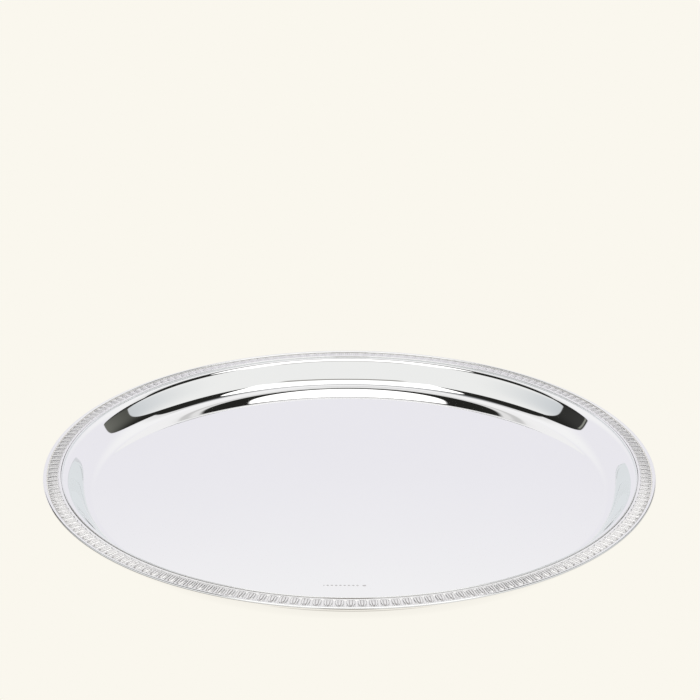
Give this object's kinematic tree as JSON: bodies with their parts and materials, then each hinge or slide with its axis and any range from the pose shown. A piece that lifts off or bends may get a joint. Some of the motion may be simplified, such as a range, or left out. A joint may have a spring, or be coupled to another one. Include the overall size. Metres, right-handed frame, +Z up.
{
  "type": "serving tray",
  "caption": "Round polished silver-plated serving tray with a flat floor, curved wall and a narrow leaf-and-dart border between a plain wire and a smooth rounded edge.",
  "frame": {"origin": "centre of the tray's flat underside, on the table", "axes": "+Z up out of the tray's mouth, -Y towards the middle of the front border length, +X to its right"},
  "size_m": [0.4, 0.4, 0.0189],
  "materials": {
    "body_silver": "polished",
    "border_silver": "gloss",
    "wire_silver": "polished"
  },
  "bodies": {
    "root": {"tray_body": "body_silver", "leaf_border_front": "border_silver", "leaf_border_right": "border_silver", "leaf_border_back": "border_silver", "leaf_border_left": "border_silver", "inner_fillet_wire": "wire_silver", "outer_edge_wire": "wire_silver"}
  },
  "joints": []
}
